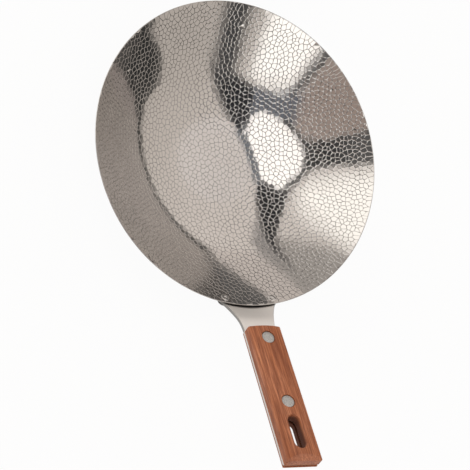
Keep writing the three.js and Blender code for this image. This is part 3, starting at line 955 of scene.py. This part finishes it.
def sky_patch(net, place, corners, soft):
    """One inside a convex outline on the sky, fading over a soft edge.

    It follows the least of the distances into the outline from its sides.
    """
    points = np.array(corners, float)
    along = np.roll(points, -1, axis=0) - points
    inwards = np.stack([along[:, 1], -along[:, 0]], axis=-1) / np.linalg.norm(along, axis=1)[:, None]
    offsets = -(inwards * points).sum(axis=1)
    depth = None
    for (a, b), c in zip(inwards.tolist(), offsets.tolist()):
        side = net.vector_math("DOT_PRODUCT", place, (a, b, c))
        depth = side if depth is None else depth.math("MINIMUM", depth, side)
    return depth.rise(-soft, soft)


def make_studio_light():
    """Plain studio: a warm pale room, three large soft boxes and the dark gaps between them.

    A direction is given by its angle from the zenith in degrees, split towards +X and +Y. The
    outlines run clockwise, and each is painted over those before it.
    """
    world = bpy.data.worlds.new("studio")
    bpy.context.scene.world = world
    world.use_nodes = True
    net = Net(world.node_tree)
    direction = net.node("ShaderNodeTexCoord")
    x, y, z = net.split(direction)
    from_zenith = z.math("ARCCOSINE", z) * math.degrees(1)
    stretch = from_zenith / ((x * x + y * y) ** 0.5).at_least(1e-4)
    place = net.node("ShaderNodeCombineXYZ", {}, {"X": x * stretch, "Y": y * stretch, "Z": 1.0})
    far = net.vector_math("DOT_PRODUCT", place, (0.6, 0.8, 0))
    glow = net.vector_math("DISTANCE", place, (-6, 22, 1))
    room = net.mix(far.rise(-5, 62), (0.94, 0.88, 0.83, 1), (0.75, 0.7, 0.65, 1))
    lit = net.mix(glow.rise(5, 22), (0.96, 0.91, 0.88, 1), room)
    colour = net.mix(from_zenith.rise(74.5, 77.5), lit, (0.072, 0.071, 0.068, 1))
    patches = [
        # Side of the room and its low dark corners
        ([(-95, 36), (-72, 26), (-58, 2), (-58, -16), (-95, -36)], 3, (0.53, 0.5, 0.47, 1)),
        ([(24, 76), (27.5, 67.5), (26, 64.5), (19, 67), (9, 73.5), (0, 80), (2, 92), (14, 90)], 1.2,
         (0.042, 0.043, 0.043, 1)),
        ([(4, 95), (30, 95), (30, 76), (22, 77.5), (12, 82), (6, 85.2)], 2, (0.12, 0.115, 0.11, 1)),
        ([(-24, 80), (-24, 95), (4, 95), (6.5, 83), (3, 80.5)], 1, (0.4, 0.35, 0.33, 1)),
        ([(-92, 36), (-66, 46), (-62, 46), (-62, 30), (-67, 14), (-90, 8)], 2.5, (0.86, 0.79, 0.74, 1)),
        ([(-64.5, 50), (-69.5, 38.5), (-74, 31), (-77, 29), (-92, 32), (-85, 60), (-66, 60)], 1.5,
         (0.145, 0.143, 0.141, 1)),
        # Dark gaps
        ([(-66, 16), (-58, 16.5), (-44, 9), (-44, 5), (-66, 7)], 3, (0.42, 0.4, 0.39, 1)),
        ([(-68, 7.6), (-54, 7.6), (-26, 5.2), (-20.5, 4.2), (-20, -8), (-30, -15)], 1.5,
         (0.039, 0.039, 0.042, 1)),
        ([(-23, 4), (-12, 20.5), (6, 13.5), (16, 4), (-20, -4)], 1.5, (0.24, 0.26, 0.29, 1)),
        ([(1, 11.5), (38.5, 34), (37, 15), (31, 0), (16, 0)], 3.5, (0.036, 0.037, 0.041, 1)),
        ([(30, 24.5), (40, 32), (52, 34.5), (70, 37), (70, 24), (34, 15)], 4.5, (0.085, 0.086, 0.089, 1)),
        ([(15, 3), (31.5, 3), (29, -17), (23, -24), (10, -27)], 2, (0.19, 0.21, 0.25, 1)),
        ([(-30, -14), (-20, -6), (14, -10), (14, -20), (-1, -33), (-16, -33)], 1.5,
         (0.06, 0.061, 0.064, 1)),
        ([(-16, -28), (0, -28), (0, -75), (-18, -75)], 1.5, (0.06, 0.061, 0.062, 1)),
        ([(-16, -38), (0, -38), (0, -75), (-18, -75)], 3, (0.15, 0.151, 0.152, 1)),
        # Dim part of the room beside the gap
        ([(0, -32), (8, -25.5), (29, -21.5), (38, -27), (46, -75), (0, -75)], 1.5, (0.5, 0.41, 0.365, 1)),
        ([(26, -17), (34, -17), (54, -28), (54, -33), (26, -20.5)], 1, (0.084, 0.086, 0.089, 1)),
        # Soft boxes
        ([(-72, -24), (-50, -18.5), (-31, -22), (-21, -34), (-20, -75), (-95, -58)], 7,
         (1.86, 1.83, 1.75, 1)),
        ([(33.8, -4), (37.6, 5.6), (45, 8.3), (60, 10), (85, 7), (85, -37.5), (42, -21), (29.5, -15)], 5,
         (2.02, 2.01, 1.96, 1)),
        ([(-27, -11), (-20, 0), (-6, 7), (2, 7.5), (14.5, 2.5), (17.5, -4), (15, -13), (3, -25),
          (-6, -28.5), (-17, -25)], 1.2, (1.83, 1.79, 1.75, 1)),
    ]
    for corners, soft, tint in patches:
        colour = net.mix(sky_patch(net, place, corners, soft), colour, tint)
    seen = net.node("ShaderNodeLightPath")
    backdrop = net.mix(seen, colour, (1, 1, 1, 1))
    light = net.node("ShaderNodeBackground", {}, {"Color": backdrop, "Strength": 1.0})
    net.node("ShaderNodeOutputWorld", {}, {"Surface": light})


def make_floor():
    """Pale floor that looks white to the camera and in metal, and keeps a soft shadow."""
    corners = FLOOR_REACH * np.array([[-1, -1], [1, -1], [1, 1], [-1, 1]])
    points = np.column_stack([corners, np.full(4, -FLOOR_DROP)])
    material = bpy.data.materials.new("pale_floor")
    material.use_nodes = True
    net = Net(material.node_tree)
    rays = ("Is Camera Ray", "Is Glossy Ray", "Is Transmission Ray")
    direct, mirrored, through = (net.node("ShaderNodeLightPath", out=ray) for ray in rays)
    seen = direct.at_least(mirrored).at_least(through)
    matt = net.node("ShaderNodeBsdfDiffuse", {}, {"Color": (0.86, 0.85, 0.84, 1)})
    white = net.node("ShaderNodeEmission", {}, {"Color": (1, 1, 1, 1), "Strength": 1.0})
    shown = net.node("ShaderNodeMixShader", {}, {0: seen * FLOOR_WHITE, 1: matt, 2: white})
    net.node("ShaderNodeOutputMaterial", {}, {"Surface": shown})
    floor = make_piece("floor", points, [np.array([[0, 1, 2, 3]])], material)


def make_camera():
    """Camera on a sphere round its target, rolled about its own line of sight."""
    lens = bpy.data.cameras.new("camera")
    lens.lens = CAMERA_LENS
    lens.sensor_width = CAMERA_SENSOR
    camera = bpy.data.objects.new("camera", lens)
    bpy.context.scene.collection.objects.link(camera)
    back = Vector((
        math.cos(CAMERA_ELEVATION) * math.cos(CAMERA_AZIMUTH),
        math.cos(CAMERA_ELEVATION) * math.sin(CAMERA_AZIMUTH),
        math.sin(CAMERA_ELEVATION),
    ))
    camera.location = CAMERA_TARGET + back * CAMERA_DISTANCE
    camera.rotation_mode = "QUATERNION"
    level = (-back).to_track_quat("-Z", "Y")
    camera.rotation_quaternion = level @ Quaternion((0, 0, 1), CAMERA_ROLL)
    bpy.context.scene.camera = camera


# Assembly

def dress(piece, node):
    """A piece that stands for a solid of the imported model."""
    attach(piece, "root")
    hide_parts(node)


bpy.context.scene.view_settings.view_transform = "Standard"
make_camera()
make_studio_light()
make_floor()

wood = surface("reddish_wood", reddish_wood)
plate_steel = surface("satin_plate", satin_plate)
head_steel = surface("rivet_steel", rivet_steel)
bright_steel = surface("polished_steel", polished_steel)

bowl = make_bowl(surface("embossed_steel", embossed_steel), surface("turned_steel", turned_steel))
dress(bowl, "pan_body")
plate = make_plate(plate_steel)
cut(plate, [tang_slot_cutter()])
dress(plate, "handle_plate")
dress(make_scale("upper_wood", UPPER, wood), "upper_scale")
dress(make_scale("lower_wood", LOWER, wood), "lower_scale")
for end, at in RIVETS_AT.items():
    for part, half in (("upper", UPPER), ("lower", LOWER)):
        rivet = make_handle_rivet(f"{end}_head_{part}", at, half, head_steel)
        dress(rivet, f"{end}_rivet_{part}")
for node, s, azimuth in rivet_places():
    dress(make_wall_rivet(f"{node}_head", s, azimuth, bright_steel), node)
